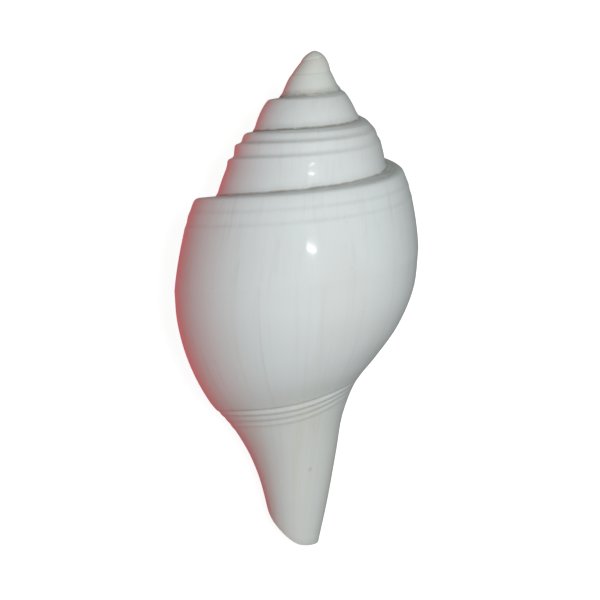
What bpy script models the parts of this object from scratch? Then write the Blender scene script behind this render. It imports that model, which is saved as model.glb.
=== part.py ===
"""Conch shell: a polished white sacred chank, grown and modelled in one piece.

The outside is one helical strip. Each turn starts on the widest line of the turn before it, so the steps of
the spire, the shoulder and the long canal come from the same few curves. The mouth is hollow for half a turn.
Lengths are in millimetres until the last step, which lays the shell on its mouth side and turns it to metres.

A station is counted in half turns back from the left edge of the last whorl, as the shell is seen with its
tip up and its mouth away from the viewer: 0 is the left edge, 1 the right edge, 2 the left edge a turn earlier.
"""

import math

import bmesh
import bpy
import numpy as np
from mathutils import Matrix, Vector

MM = 0.001

# Widest line of the whorls, one (radius, depth below the tip) for each half turn back from the left edge
WIDEST_LINE = [
    (34.5, 64.6),
    (28.9, 50.0),
    (24.0, 38.8),
    (19.4, 28.9),
    (14.9, 21.6),
    (11.9, 16.7),
    (8.3, 12.5),
    (6.7, 9.6),
    (5.8, 6.6),
    (4.2, 4.8),
    (3.4, 3.0),
    (2.2, 1.0),
]
FIRST_STATION = 11.0
LIP_STATION = -0.25
TURN = 2.0

# Shoulder of each whorl: how far out of the way to the widest line it stands, and how far down
SHOULDER_STATIONS = [-0.25, 0.0, 0.5, 1.0, 1.5, 2.0, 2.5, 3.0, 3.5, 4.0, 5.0, 6.0, 7.0, 8.0, 9.0]
SHOULDER_OUT = [0.48, 0.52, 0.48, 0.44, 0.34, 0.23, 0.34, 0.28, 0.38, 0.45, 0.28, 0.15, 0.04, 0.02, 0.0]
SHOULDER_DROP = [0.12, 0.025, 0.018, 0.02, 0.025, 0.02, 0.02, 0.05, 0.06, 0.06, 0.11, 0.08, 0.04, 0.02, 0.0]
SIDE_ROUNDNESS = [1.6, 1.4, 1.4, 1.4, 1.4, 1.22, 1.8, 1.5, 1.4, 1.35, 1.2, 1.1, 1.05, 1.05, 1.4]

# Base of the last whorl and its canal: (radius, depth) at the same eleven marks for seven stations
BASE_STATIONS = [-0.25, 0.0, 0.5, 0.75, 1.0, 1.75, 2.75]
BASE_MARKS = [0.0, 0.10, 0.22, 0.35, 0.46, 0.49, 0.54, 0.61, 0.72, 0.84, 1.0]
BASE_OUTLINES = [
    [(35.9, 68.6), (35.3, 76.5), (32.9, 85.5), (28.2, 94.5), (23.0, 100.6), (21.3, 102.1), (18.6, 105.0),
     (15.6, 108.9), (12.4, 113.2), (9.9, 118.5), (6.5, 130.0)],
    [(34.5, 64.6), (33.7, 72.0), (31.2, 81.0), (26.8, 90.0), (22.3, 95.9), (20.8, 97.1), (17.9, 100.2),
     (14.6, 104.8), (11.2, 111.4), (8.9, 118.2), (6.0, 130.0)],
    [(31.6, 57.1), (31.0, 65.4), (28.0, 74.6), (23.2, 83.0), (18.4, 89.1), (17.3, 90.7), (15.4, 94.1),
     (13.2, 99.8), (10.8, 107.5), (8.6, 117.6), (5.9, 130.0)],
    [(30.3, 53.6), (29.7, 62.1), (26.6, 71.4), (21.5, 79.5), (17.3, 84.9), (16.2, 86.4), (14.4, 89.8),
     (12.1, 96.3), (10.2, 106.1), (8.3, 117.3), (5.9, 130.0)],
    [(28.9, 50.0), (28.3, 58.9), (25.0, 68.3), (19.6, 76.7), (15.2, 82.6), (14.2, 84.3), (12.8, 87.6),
     (10.9, 94.0), (9.6, 104.8), (8.0, 117.0), (5.8, 130.0)],
    [(24.9, 41.2), (24.3, 49.0), (21.6, 57.5), (17.3, 65.5), (12.4, 74.0), (11.5, 76.0), (9.9, 79.6),
     (8.0, 86.5), (6.1, 99.5), (4.6, 114.0), (3.0, 129.0)],
    [(20.3, 31.8), (19.8, 36.5), (17.9, 43.0), (14.2, 50.0), (10.0, 57.5), (9.0, 59.4), (7.7, 63.0),
     (6.3, 70.0), (5.2, 88.0), (4.1, 109.0), (2.8, 126.0)],
]

# Depth of the canal's open end round the shell
END_STATIONS = [-0.25, 0.0, 0.25, 0.5, 0.75, 1.0, 1.75, 2.75]
END_DEPTHS = [114.5, 121.0, 125.6, 129.2, 130.0, 129.8, 128.0, 125.5]

# Two creases under the shoulder, with the side stepping out below each: share of the way down to the widest line.
# They are strongest on the left of the whorl above the last one, and the small whorls have none.
CREASES_ON_LAST = (0.175, 0.32)
CREASES_ABOVE = (0.185, 0.415)
CREASE_DEPTH = 0.25
CREASE_HALF_WIDTH = 0.6
CREASE_STEP = 0.34
CREASE_STEP_WIDTH = 0.8
CREASE_STATIONS = [-0.25, 0.0, 0.5, 1.0, 1.5, 2.0, 2.5, 3.0, 3.3, 3.7]
CREASE_STRENGTHS = [0.2, 0.2, 0.15, 0.15, 0.65, 1.3, 1.3, 0.35, 0.2, 0.0]

# A whorl's side flares where it runs out onto the next whorl, by this much over this height
FLARE = 0.45
FLARE_HEIGHT = 1.5
FLARE_LONGEST_SHARE = 0.4
FLARE_STATIONS = (1.75, 2.1)
FLARE_GONE = (7.0, 8.0)

# Three fine cords round the base where it runs into the canal, and the cut line above them
CORD_MARKS = (0.489, 0.513, 0.537)
CORD_HEIGHT = 0.18
CORD_HALF_WIDTH = 0.012
CUT_MARK = 0.470
CUT_DEPTH = 0.2
CORDS_FADE = (0.68, 0.98)

# The lip's edge bows forward in its middle, by this angle, over the last part of the whorl
LIP_BOW = math.radians(6)
LIP_BOW_START = 0.5
LIP_TOP = 41.0
LIP_BOTTOM = 115.0

# Wall and hollow; the wall thins towards the lip
WALL = 3.4
WALL_AT_LIP = 2.6
WALL_AT_CANAL_END = 2.0
HOLLOW_DEPTH = 1.0
CORNER_MARK = 0.055
RIM_ROUNDNESS = 0.7
RIM_REACH = 1.1
RIM_FLATTER_AT_END = 0.75

# Three folds on the pillar inside the mouth
FOLD_MARKS = (0.41, 0.462, 0.514)
FOLD_HEIGHT = 0.8
FOLD_HALF_WIDTH = 0.023
FOLD_START_STATION = 1.55
FOLD_FULL_STATION = 1.85

# How the shell lies: tip raised, then rolled about its length, then its three worn contact spots cut flat
TIP_RAISED = math.radians(16.1)
ROLL = math.radians(17.8)
WORN_FLAT = 0.5

# Fineness of the faceted solid: rows in a turn, then columns of points, in mm from a crease or as shares and marks
STEPS_PER_TURN = 44
RAMP_COLUMNS = 2
RIM_COLUMNS = 2
PLAIN_SIDE_COLUMNS = 5
PLAIN_SIDE_CROWDING = 1.7
SMALL_WHORLS_STATION = 9.0
SMALL_SIDE_COLUMNS = 2
BELOW_SHOULDER = (0.0, 0.03, 0.05)
NEAR_CREASE = (-1.5, -0.6, 0.0, 0.6, 1.5)
BELOW_CREASES = (0.68, 0.88, 1.0)
BULGE_MARKS = (0.11, 0.17, 0.23, 0.29, 0.35, 0.41, 0.435, 0.457)
CANAL_SHARES = (0.14, 0.32, 0.50, 0.67, 0.84, 1.0)
WALL_SIDE_SHARES = (0.02, 0.12, 0.28, 0.50, 0.75)
WALL_BASE_MARKS = (0.0, 0.08, 0.16, 0.24, 0.32, 0.40, 0.46, 0.52, 0.58)
WALL_CANAL_SHARES = (0.2, 0.4, 0.6, 0.8, 1.0)
LIP_TURN_RUNGS = 6
LIP_TOP_RUNGS = 4
SMOOTH_ANGLE = math.radians(40)


def smooth_through(marks, values, at):
    """Smooth curve through values at the marks, read at the given places; the first axis runs over the marks."""
    marks = np.asarray(marks, float)
    values = np.asarray(values, float)
    at = np.clip(np.asarray(at, float), marks[0], marks[-1])
    slopes = np.gradient(values, marks, axis=0)
    low = np.clip(np.searchsorted(marks, at, side="right") - 1, 0, len(marks) - 2)
    gap = marks[low + 1] - marks[low]
    share = (at - marks[low]) / gap
    tail = (1,) * (values.ndim - 1)
    share = share.reshape(share.shape + tail)
    gap = gap.reshape(gap.shape + tail)
    near = (1 + 2 * share) * (1 - share) ** 2 * values[low] + share**2 * (3 - 2 * share) * values[low + 1]
    return near + gap * share * (1 - share) * ((1 - share) * slopes[low] - share * slopes[low + 1])


def smooth_step(low, high, at):
    """0 below low, 1 above high and a smooth rise between."""
    share = np.clip((np.asarray(at, float) - low) / (high - low), 0.0, 1.0)
    return share * share * (3 - 2 * share)


def bump(distance):
    """1 in the middle, 0 from a distance of 1 on, smooth on both sides."""
    return (1 - np.minimum(np.abs(distance), 1.0) ** 2) ** 2


def widest(station):
    """(radius, depth) of the widest line at a station, and the tip itself before the first one."""
    point = smooth_through(np.arange(len(WIDEST_LINE)), WIDEST_LINE, station)
    return np.where(np.asarray(station)[..., None] > FIRST_STATION + 1e-6, 0.0, point)


def shoulder(station):
    """(radius, depth) of the shoulder at a station, and the roundness of the side below it."""
    above = widest(station + TURN)
    below = widest(station)
    out = np.interp(station, SHOULDER_STATIONS, SHOULDER_OUT)
    drop = np.interp(station, SHOULDER_STATIONS, SHOULDER_DROP)
    return above + (below - above) * np.stack([out, drop], axis=-1), np.interp(
        station, SHOULDER_STATIONS, SIDE_ROUNDNESS)


def side_outline(station, share):
    """Whorl side at a station for shares 0 to 1 of the way down from the shoulder to the widest line."""
    corner, power = shoulder(station)
    below = widest(station)
    out = (1 - (1 - share) ** power) ** (1 / power)
    return corner + (below - corner) * np.stack([out, share], axis=-1)


def side_height(station):
    """Height of the side from the shoulder down to the widest line."""
    return (widest(station) - shoulder(station)[0])[1]


def side_share(station, way_down):
    """Share down from the shoulder for a share of the whole way from the suture above to the widest line."""
    drop = np.interp(station, SHOULDER_STATIONS, SHOULDER_DROP)
    return np.clip((way_down - drop) / (1 - drop), 0.0, 1.0)


def crease_shares(station):
    """Shares down the side at which the two creases run at a station."""
    change = float(smooth_step(1.0, TURN, station))
    return [side_share(station, a + (b - a) * change) for a, b in zip(CREASES_ON_LAST, CREASES_ABOVE)]


def crease_relief(station, share):
    """Height of the side above its plain outline round the two creases."""
    height = side_height(station)
    strength = smooth_through(CREASE_STATIONS, CREASE_STRENGTHS, station)
    relief = 0.0
    for crease in crease_shares(station):
        below = (share - crease) * height
        way = below / CREASE_STEP_WIDTH
        step = CREASE_STEP * way * np.exp((1 - way**2) / 2)
        relief = relief + step - CREASE_DEPTH * bump(below / CREASE_HALF_WIDTH)
    return strength * relief


def flare_relief(station, share):
    """Height of the side above its plain outline where it runs out onto the next whorl."""
    reach = min(FLARE_HEIGHT / side_height(station), FLARE_LONGEST_SHARE)
    way = smooth_step(1.0 - reach, 1.0 + reach, share)
    strength = smooth_step(*FLARE_STATIONS, station) * (1 - smooth_step(*FLARE_GONE, station))
    return FLARE * 2 * strength * way


def base_outline(station, mark):
    """Base of the last whorl, its canal and the pillar inside at a station, for marks 0 to 1."""
    outlines = smooth_through(BASE_STATIONS, BASE_OUTLINES, station)
    points = smooth_through(BASE_MARKS, outlines, mark)
    gap = widest(station) - outlines[0]
    return points + gap * (1 - mark[..., None]) ** 3


def base_relief(station, mark):
    """Height of the cords and the cut line on the outside, and of the folds on the pillar inside."""
    cords = CORD_HEIGHT * sum(bump((mark - place) / CORD_HALF_WIDTH) for place in CORD_MARKS)
    cut = CUT_DEPTH * bump((mark - CUT_MARK) / CORD_HALF_WIDTH)
    folds = FOLD_HEIGHT * sum(bump((mark - place) / FOLD_HALF_WIDTH) for place in FOLD_MARKS)
    cords_keep = 1 - smooth_step(*CORDS_FADE, station)
    folds_keep = smooth_step(FOLD_START_STATION, FOLD_FULL_STATION, station)
    return cords_keep * (cords - cut) + folds_keep * folds


def end_mark(station):
    """Mark at which the canal ends at a station."""
    marks = np.linspace(0.6, 1.0, 81)
    depths = base_outline(station, marks)[:, 1]
    return float(np.interp(smooth_through(END_STATIONS, END_DEPTHS, station), depths, marks))


def raised(outline, station, places, relief):
    """Outline at the places, moved outwards by the relief there; outline and relief are functions."""
    step = 1e-3
    before = outline(station, np.clip(places - step, 0.0, 1.0))
    after = outline(station, np.clip(places + step, 0.0, 1.0))
    along = after - before
    across = np.stack([along[:, 1], -along[:, 0]], axis=-1)
    across /= np.linalg.norm(across, axis=-1, keepdims=True)
    return outline(station, places) + across * np.asarray(relief)[:, None]


def in_space(points, station):
    """Points of a row from a suture or corner to the canal's end, placed round the shell; the tip is at +Y."""
    bow = 1 - smooth_step(LIP_STATION, LIP_BOW_START, station)
    way = np.clip((points[:, 1] - LIP_TOP) / (LIP_BOTTOM - LIP_TOP), 0.0, 1.0)
    angle = -math.pi * station + LIP_BOW * bow * 4 * way * (1 - way)
    radius = points[:, 0]
    return np.stack([-radius * np.cos(angle), -points[:, 1], -radius * np.sin(angle)], axis=-1)


def side_shares(station):
    """Places down the side at which the solid has a column of points, more where there are creases."""
    if station > CREASE_STATIONS[-1]:
        columns = PLAIN_SIDE_COLUMNS if station < SMALL_WHORLS_STATION else SMALL_SIDE_COLUMNS
        return (np.arange(columns + 1) / columns) ** PLAIN_SIDE_CROWDING
    near = np.array(NEAR_CREASE) / side_height(station)
    first, second = crease_shares(station)
    *top, least = BELOW_SHOULDER
    apart = 1e-3 * np.arange(len(near))
    return np.concatenate([top, np.maximum(first + near, least + apart), second + near, BELOW_CREASES])


def base_marks(station):
    """Places down the base at which the solid has a column of points, as far as the canal's end."""
    rim = np.linspace(0.0, CORNER_MARK, RIM_COLUMNS + 1)
    cords = CORD_MARKS[0] + CORD_HALF_WIDTH * np.arange(-1, 2 * len(CORD_MARKS))
    canal = cords[-1] + (end_mark(station) - cords[-1]) * np.array(CANAL_SHARES)
    return np.concatenate([rim, BULGE_MARKS, [CUT_MARK], cords, canal])


def outside_side(station):
    """Outside points of one whorl side, from the suture above to the widest line."""
    shares = side_shares(station)
    side = raised(side_outline, station, shares, crease_relief(station, shares) + flare_relief(station, shares))
    if station > FIRST_STATION - 1e-6:
        return np.array([[0.0, 0.0], side[-1]])
    above = widest(station + TURN)
    ramp = above + (side[0] - above) * (np.arange(RAMP_COLUMNS) / RAMP_COLUMNS)[:, None]
    return np.concatenate([ramp, side])


def outside_base(station):
    """Outside points of the base, from the widest line to the end of the canal, or of the pillar inside."""
    marks = base_marks(station)
    return raised(base_outline, station, marks, base_relief(station, marks))


def inside_wall(station):
    """Inner face of the outer wall, from its corner on the whorl before to the end of the canal."""
    thick = WALL_AT_LIP + (WALL - WALL_AT_LIP) * float(smooth_step(LIP_STATION, LIP_BOW_START, station))
    shares = np.array(WALL_SIDE_SHARES)
    side = raised(side_outline, station, shares, np.full(len(shares), -thick))
    canal_start = WALL_BASE_MARKS[-1]
    canal = canal_start + (end_mark(station) - canal_start) * np.array(WALL_CANAL_SHARES)
    marks = np.concatenate([WALL_BASE_MARKS, canal])
    wall = thick + (WALL_AT_CANAL_END - thick) * smooth_step(0.3, 1.0, marks)
    base = raised(base_outline, station, marks, -wall)
    base[-1, 1] = outside_base(station)[-1, 1]
    return np.concatenate([side, base])


def walk(first, second):
    """Steps along two chains of points together, as pairs of places, moving on the one that is behind."""
    ways = []
    for chain in (first, second):
        lengths = np.linalg.norm(np.diff(np.asarray(chain), axis=0), axis=1)
        total = np.concatenate([[0.0], np.cumsum(lengths)])
        ways.append(total / max(total[-1], 1e-9))
    i = j = 0
    pairs = [(0, 0)]
    while i < len(first) - 1 or j < len(second) - 1:
        next_i = ways[0][i + 1] if i < len(first) - 1 else math.inf
        next_j = ways[1][j + 1] if j < len(second) - 1 else math.inf
        if abs(next_i - next_j) < 0.5 * min(next_i - ways[0][i], next_j - ways[1][j]):
            i, j = i + 1, j + 1
        elif next_i < next_j:
            i += 1
        else:
            j += 1
        pairs.append((i, j))
    return pairs


class Surface:
    """Shared points and the faces between chains of them."""

    def __init__(self):
        self.points = []
        self.faces = []

    def add(self, points):
        start = len(self.points)
        self.points.extend(np.asarray(points, float))
        return list(range(start, len(self.points)))

    def at(self, chain):
        return np.array([self.points[i] for i in chain])

    def face(self, *corners):
        kept = [c for i, c in enumerate(corners) if c != corners[i - 1]]
        if len(set(kept)) > 2:
            self.faces.append(kept)

    def bridge(self, first, second):
        """Faces between two chains of points, place by place where they are equally long."""
        pairs = [(i, i) for i in range(len(first))]
        if len(first) != len(second):
            pairs = walk(self.at(first), self.at(second))
        for (i, j), (k, m) in zip(pairs, pairs[1:]):
            self.face(first[i], second[j], second[m], first[k])


def shell_surface():
    """The whole closed surface of the shell, in millimetres, with the tip at the origin."""
    surface = Surface()
    half = STEPS_PER_TURN // 2
    rows = round((FIRST_STATION - LIP_STATION) * half)
    stations = [FIRST_STATION - k / half for k in range(rows + 1)]
    stations[-1] = LIP_STATION

    # Outside of every whorl; a row starts on the point that ends the row a turn before it
    tip = surface.add([(0.0, 0.0, 0.0)])[0]
    sides = []
    for k, station in enumerate(stations):
        start = tip if k < STEPS_PER_TURN else sides[k - STEPS_PER_TURN][-1]
        sides.append([start] + surface.add(in_space(outside_side(station)[1:], station)))
    for first, second in zip(sides, sides[1:]):
        surface.bridge(first, second)

    # Base and canal of the last whorl, then the same surface carried on inside as the pillar
    mouth = rows - STEPS_PER_TURN
    deep = round(HOLLOW_DEPTH * half)
    bases = {}
    for k in range(mouth - deep, rows + 1):
        points = in_space(outside_base(stations[k]), stations[k])
        if k < mouth:
            bases[k] = surface.add(points[RIM_COLUMNS:])
        else:
            bases[k] = [sides[k][-1]] + surface.add(points[1:])
    for k in range(mouth, rows):
        surface.bridge(bases[k], bases[k + 1])
    pillar = {k: bases[k] for k in range(mouth - deep, mouth)}
    pillar[mouth] = bases[mouth][RIM_COLUMNS:]
    for k in range(mouth - deep, mouth):
        surface.bridge(pillar[k], pillar[k + 1])

    # Inner face of the outer wall, and the wall that closes the hollow at its deep end
    walls = {}
    for k in range(rows - deep, rows + 1):
        corner = pillar[k - STEPS_PER_TURN][0]
        walls[k] = [corner] + surface.add(in_space(inside_wall(stations[k]), stations[k]))
    for k in range(rows - deep, rows):
        surface.bridge(walls[k], walls[k + 1])
    surface.bridge(walls[rows - deep], pillar[mouth - deep])

    # Rim: rungs from the outer edge to the inner one, down the lip and then round the canal's end
    lip_outer = sides[rows] + bases[rows][1:]
    lip_inner = walls[rows]
    rungs = [(lip_outer[i], lip_inner[j]) for i, j in walk(surface.at(lip_outer), surface.at(lip_inner))]
    lip_rungs = len(rungs)
    for k in range(rows - 1, rows - deep - 1, -1):
        rungs.append((bases[k][-1], walls[k][-1]))
    for step in range(deep + 1):
        rungs.append((bases[rows - deep - step][-1], pillar[mouth - deep + step][-1]))
    sideways = in_space(np.array([[1.0, 0.0]]), LIP_STATION - 0.5)[0]
    down = np.array([0.0, -1.0, 0.0])
    rows_across = []
    for place, (outer, inner) in enumerate(rungs):
        turned = float(smooth_step(lip_rungs - LIP_TURN_RUNGS, lip_rungs, place))
        ahead = sideways * (1 - turned) + down * turned
        a = np.array(surface.points[outer])
        b = np.array(surface.points[inner])
        width = min(float(np.linalg.norm(a - b)) / 2, RIM_REACH) * RIM_ROUNDNESS
        width *= min(1.0, (place + 1) / LIP_TOP_RUNGS)
        width *= 1 - RIM_FLATTER_AT_END * float(smooth_step(lip_rungs, lip_rungs + deep, place))
        between = []
        for column in range(1, RIM_COLUMNS):
            share = math.pi * column / RIM_COLUMNS
            between.append((a + b) / 2 + (a - b) / 2 * math.cos(share) + ahead * width * math.sin(share))
        if place == 0:
            middle = bases[mouth][1:RIM_COLUMNS]
        elif outer == inner:
            middle = [outer] * (RIM_COLUMNS - 1)
        else:
            middle = surface.add(between)
        rows_across.append([outer] + middle + [inner])
    for first, second in zip(rows_across, rows_across[1:]):
        for column in range(RIM_COLUMNS):
            surface.face(first[column], first[column + 1], second[column + 1], second[column])
    return surface


def lay_down(mesh):
    """Turns the shell to how it lies, cuts the worn spots flat and puts its origin under its middle."""
    turn = Matrix.Rotation(TIP_RAISED, 4, "X") @ Matrix.Rotation(ROLL, 4, "Y")
    bmesh.ops.transform(mesh, matrix=turn, verts=mesh.verts)
    floor = min(v.co.z for v in mesh.verts) + WORN_FLAT * MM
    geometry = mesh.verts[:] + mesh.edges[:] + mesh.faces[:]
    cut = bmesh.ops.bisect_plane(mesh, geom=geometry, dist=1e-7, plane_co=(0, 0, floor), plane_no=(0, 0, 1),
                                 clear_inner=True)
    edges = [e for e in cut["geom_cut"] if isinstance(e, bmesh.types.BMEdge)]
    bmesh.ops.holes_fill(mesh, edges=edges, sides=0)
    middle = [(min(v.co[i] for v in mesh.verts) + max(v.co[i] for v in mesh.verts)) / 2 for i in (0, 1)]
    bmesh.ops.translate(mesh, vec=Vector((-middle[0], -middle[1], -floor)), verts=mesh.verts)


def shell_material():
    """Polished cool white shell."""
    material = bpy.data.materials.new("polished_shell")
    material.use_nodes = True
    shader = material.node_tree.nodes["Principled BSDF"]
    shader.inputs["Base Color"].default_value = (0.72, 0.72, 0.69, 1.0)
    shader.inputs["Roughness"].default_value = 0.25
    shader.inputs["Metallic"].default_value = 0.0
    return material


def build_shell():
    """The shell as one closed object."""
    surface = shell_surface()
    mesh = bmesh.new()
    verts = [mesh.verts.new(Vector(p) * MM) for p in surface.points]
    for corners in surface.faces:
        mesh.faces.new([verts[i] for i in corners])
    loose = [v for v in mesh.verts if not v.link_faces]
    bmesh.ops.delete(mesh, geom=loose, context="VERTS")
    bmesh.ops.triangulate(mesh, faces=mesh.faces[:])
    bmesh.ops.recalc_face_normals(mesh, faces=mesh.faces[:])
    lay_down(mesh)
    data = bpy.data.meshes.new("conch_shell")
    mesh.to_mesh(data)
    mesh.free()
    data.materials.append(shell_material())
    data.shade_smooth()
    data.set_sharp_from_angle(angle=SMOOTH_ANGLE)
    shell = bpy.data.objects.new("conch_shell", data)
    bpy.context.scene.collection.objects.link(shell)
    return shell


def main():
    for old in list(bpy.data.objects):
        bpy.data.objects.remove(old)
    build_shell()


main()
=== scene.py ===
"""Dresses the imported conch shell: the fine polished surface, a pale floor, soft light and the camera."""

import math

import bpy
import numpy as np
from mathutils import Matrix, Vector


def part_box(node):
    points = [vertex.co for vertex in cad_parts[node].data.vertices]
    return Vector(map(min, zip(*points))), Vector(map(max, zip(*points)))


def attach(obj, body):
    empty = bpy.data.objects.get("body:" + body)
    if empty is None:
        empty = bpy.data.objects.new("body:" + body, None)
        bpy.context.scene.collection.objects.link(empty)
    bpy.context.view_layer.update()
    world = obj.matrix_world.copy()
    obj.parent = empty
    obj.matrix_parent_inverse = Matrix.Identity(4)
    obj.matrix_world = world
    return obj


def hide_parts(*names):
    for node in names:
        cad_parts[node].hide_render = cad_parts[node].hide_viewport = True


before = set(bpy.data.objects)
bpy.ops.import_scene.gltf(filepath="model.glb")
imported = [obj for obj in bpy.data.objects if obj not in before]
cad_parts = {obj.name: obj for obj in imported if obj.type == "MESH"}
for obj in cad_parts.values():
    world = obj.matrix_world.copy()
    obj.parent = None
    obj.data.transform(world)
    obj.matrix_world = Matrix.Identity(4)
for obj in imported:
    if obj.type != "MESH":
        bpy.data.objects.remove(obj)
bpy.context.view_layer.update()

bl_info = {
    "name": "Conch shell",
    "version": (1, 0, 0),
    "blender": (4, 5, 0),
    "location": "3D View > Sidebar > Conch",
    "description": "Builds the polished surface of a conch shell and a plain studio round it",
    "category": "Add Mesh",
}

NODE = "conch_shell"
MM = 0.001

# Widest line of the whorls in mm, one (radius, depth below the tip) for each half turn back from the left
# edge. A station counts those half turns: 0 is the left edge of the last whorl, 1 its right edge and 2 the
# left edge above it.
WIDEST_LINE = [
    (34.5, 64.6),
    (28.9, 50.0),
    (24.0, 38.8),
    (19.4, 28.9),
    (14.9, 21.6),
    (11.9, 16.7),
    (8.3, 12.5),
    (6.7, 9.6),
    (5.8, 6.6),
    (4.2, 4.8),
    (3.4, 3.0),
    (2.2, 1.0),
]
FIRST_STATION = 11.0
LIP_STATION = -0.25
TURN = 2.0

# Shoulder of each whorl: how far out on the way to the widest line it stands, how far down, and how round
# the side below it is
SHOULDER_STATIONS = [-0.25, 0.0, 0.5, 1.0, 1.5, 2.0, 2.5, 3.0, 3.5, 4.0, 5.0, 6.0, 7.0, 8.0, 9.0]
SHOULDER_OUT = [0.48, 0.52, 0.48, 0.44, 0.34, 0.23, 0.34, 0.28, 0.38, 0.45, 0.28, 0.15, 0.04, 0.02, 0.0]
SHOULDER_DROP = [0.12, 0.025, 0.018, 0.02, 0.025, 0.02, 0.02, 0.05, 0.06, 0.06, 0.11, 0.08, 0.04, 0.02, 0.0]
SIDE_ROUNDNESS = [1.6, 1.4, 1.4, 1.4, 1.4, 1.22, 1.8, 1.5, 1.4, 1.35, 1.2, 1.1, 1.05, 1.05, 1.4]

# Base of the last whorl and its canal: (radius, depth) in mm at the same eleven marks for seven stations
BASE_STATIONS = [-0.25, 0.0, 0.5, 0.75, 1.0, 1.75, 2.75]
BASE_MARKS = [0.0, 0.10, 0.22, 0.35, 0.46, 0.49, 0.54, 0.61, 0.72, 0.84, 1.0]
BASE_OUTLINES = [
    [(35.9, 68.6), (35.3, 76.5), (32.9, 85.5), (28.2, 94.5), (23.0, 100.6), (21.3, 102.1), (18.6, 105.0),
     (15.6, 108.9), (12.4, 113.2), (9.9, 118.5), (6.5, 130.0)],
    [(34.5, 64.6), (33.7, 72.0), (31.2, 81.0), (26.8, 90.0), (22.3, 95.9), (20.8, 97.1), (17.9, 100.2),
     (14.6, 104.8), (11.2, 111.4), (8.9, 118.2), (6.0, 130.0)],
    [(31.6, 57.1), (31.0, 65.4), (28.0, 74.6), (23.2, 83.0), (18.4, 89.1), (17.3, 90.7), (15.4, 94.1),
     (13.2, 99.8), (10.8, 107.5), (8.6, 117.6), (5.9, 130.0)],
    [(30.3, 53.6), (29.7, 62.1), (26.6, 71.4), (21.5, 79.5), (17.3, 84.9), (16.2, 86.4), (14.4, 89.8),
     (12.1, 96.3), (10.2, 106.1), (8.3, 117.3), (5.9, 130.0)],
    [(28.9, 50.0), (28.3, 58.9), (25.0, 68.3), (19.6, 76.7), (15.2, 82.6), (14.2, 84.3), (12.8, 87.6),
     (10.9, 94.0), (9.6, 104.8), (8.0, 117.0), (5.8, 130.0)],
    [(24.9, 41.2), (24.3, 49.0), (21.6, 57.5), (17.3, 65.5), (12.4, 74.0), (11.5, 76.0), (9.9, 79.6),
     (8.0, 86.5), (6.1, 99.5), (4.6, 114.0), (3.0, 129.0)],
    [(20.3, 31.8), (19.8, 36.5), (17.9, 43.0), (14.2, 50.0), (10.0, 57.5), (9.0, 59.4), (7.7, 63.0),
     (6.3, 70.0), (5.2, 88.0), (4.1, 109.0), (2.8, 126.0)],
]

# Depth of the canal's open end round the shell in mm, and the marks among which that end is looked up
CANAL_MARKS = np.linspace(0.6, 1.0, 81)
END_STATIONS = [-0.25, 0.0, 0.25, 0.5, 0.75, 1.0, 1.75, 2.75]
END_DEPTHS = [114.5, 121.0, 125.6, 129.2, 130.0, 129.8, 128.0, 125.5]

# Two creases under the shoulder, on the last whorl and above it, as shares of the way down to the widest
# line, which change between two stations. Each is a fine cut with a step like a terrace's. Widths and step
# are in mm
CREASES_ON_LAST = (0.175, 0.32)
CREASES_ABOVE = (0.185, 0.415)
CREASES_CHANGE = (1.0, 2.0)
CREASE_HALF_WIDTH = 0.6
CREASE_STEP = 0.34
CREASE_STEP_WIDTH = 0.8
CREASE_STATIONS = [-0.25, 0.0, 0.5, 1.0, 1.5, 2.0, 2.5, 3.0, 3.3, 3.7]
CREASE_STRENGTHS = [0.2, 0.2, 0.15, 0.15, 0.65, 1.3, 0.9, 0.35, 0.2, 0.0]

# A whorl's side flares where it runs out onto the next whorl, by this much in mm over this height, or over
# this share of a low side. Pairs of stations say where the flare comes in and where it goes again
FLARE = 0.45
FLARE_HEIGHT = 1.5
FLARE_LONGEST_SHARE = 0.4
FLARE_STATIONS = (1.75, 2.1)
FLARE_GONE = (7.0, 8.0)

# Three fine cords round the base where it runs into the canal, the cut line above them, and the stations
# between which they all rise and fade
CORD_MARKS = (0.489, 0.513, 0.537)
CORD_HEIGHT = 0.18
CORD_HALF_WIDTH = 0.012
CUT_MARK = 0.470
CUT_DEPTH = 0.2
CORDS_RISE = (-0.35, 0.3)
CORDS_FADE = (0.6, 0.9)

# The lip's edge bows forward by this angle, halfway between two depths in mm, and from this station on
LIP_BOW = math.radians(6)
LIP_BOW_START = 0.5
LIP_TOP = 41.0
LIP_BOTTOM = 115.0

# Wall in mm and the marks between which it thins down the canal, how far the hollow goes in, in half turns,
# and the mark at which the hollow's corner lies on the whorl before
WALL = 3.4
WALL_AT_LIP = 2.6
WALL_AT_CANAL_END = 2.0
WALL_THINS = (0.3, 1.0)
HOLLOW_DEPTH = 1.0
CORNER_MARK = 0.055

# Edge of the lip: how far it bulges for its half width, that half width at most in mm, how much flatter it
# gets round the canal's end, and over how many rungs it grows at its start and turns down at the canal
RIM_ROUNDNESS = 0.7
RIM_REACH = 1.1
RIM_FLATTER_AT_END = 0.75
RIM_START_RUNGS = 12
RIM_TURN_RUNGS = 14

# A worn pit on the canal: its station and way down, and its half widths in the same measures
PIT = (0.59, 2.737)
PIT_HALF_WIDTHS = (0.022, 0.010)

# Three folds on the pillar inside the mouth
FOLD_MARKS = (0.41, 0.462, 0.514)
FOLD_HEIGHT = 0.8
FOLD_HALF_WIDTH = 0.023
FOLD_START_STATION = 1.55
FOLD_FULL_STATION = 1.85

# How the shell lies, the same as its solid: tip raised, then rolled about its length
TIP_RAISED = math.radians(16.1)
ROLL = math.radians(17.8)

# Columns of points on a ramp, round its corner and on the rim. The corner is rounded over this reach in mm,
# or over this share of a short ramp
RAMP_COLUMNS = 7
CORNER_COLUMNS = 5
CORNER_REACH = 1.0
CORNER_LONGEST_SHARE = 0.4
SHORTEST_RAMP = 1e-3
RIM_COLUMNS = 10

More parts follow.
